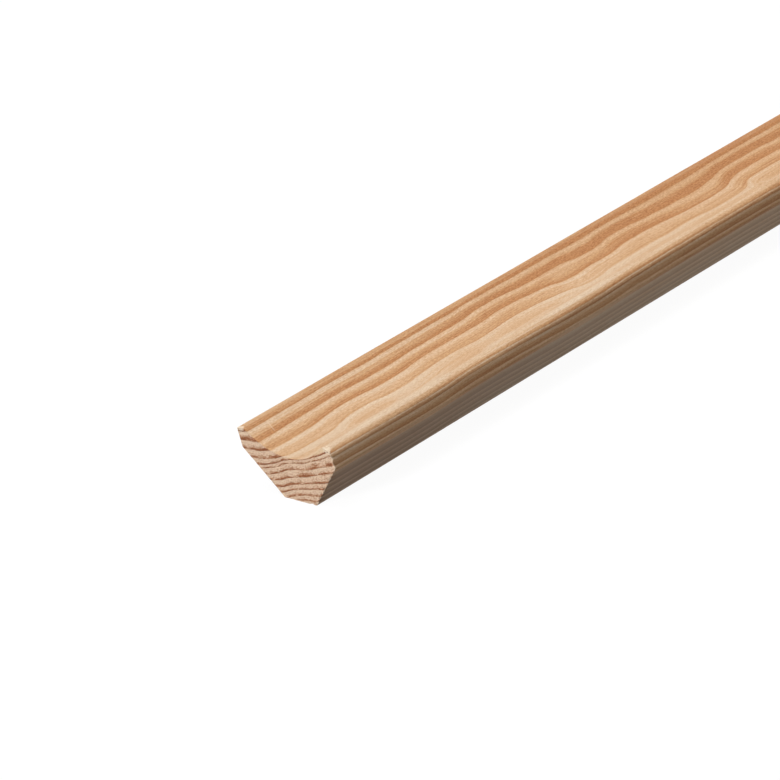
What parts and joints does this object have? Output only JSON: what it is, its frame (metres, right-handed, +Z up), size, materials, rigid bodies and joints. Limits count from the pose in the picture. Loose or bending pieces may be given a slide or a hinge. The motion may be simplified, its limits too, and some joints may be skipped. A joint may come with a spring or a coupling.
{
  "type": "internal corner moulding",
  "caption": "Solid pine corner moulding with a shallow cove face, rounded noses and two back bevels at right angles, for covering an inside corner between wall and ceiling.",
  "frame": {"origin": "middle of the moulding's length, on the middle line of its narrow flat back, which lies on the floor", "axes": "+X along the length, +Y across the board from nose to nose, +Z up from the flat back to the cove"},
  "size_m": [2.4, 0.0344, 0.0165],
  "materials": {
    "pine": "planed and lightly sanded, untreated"
  },
  "bodies": {
    "root": {"corner_moulding": "pine"}
  },
  "joints": []
}
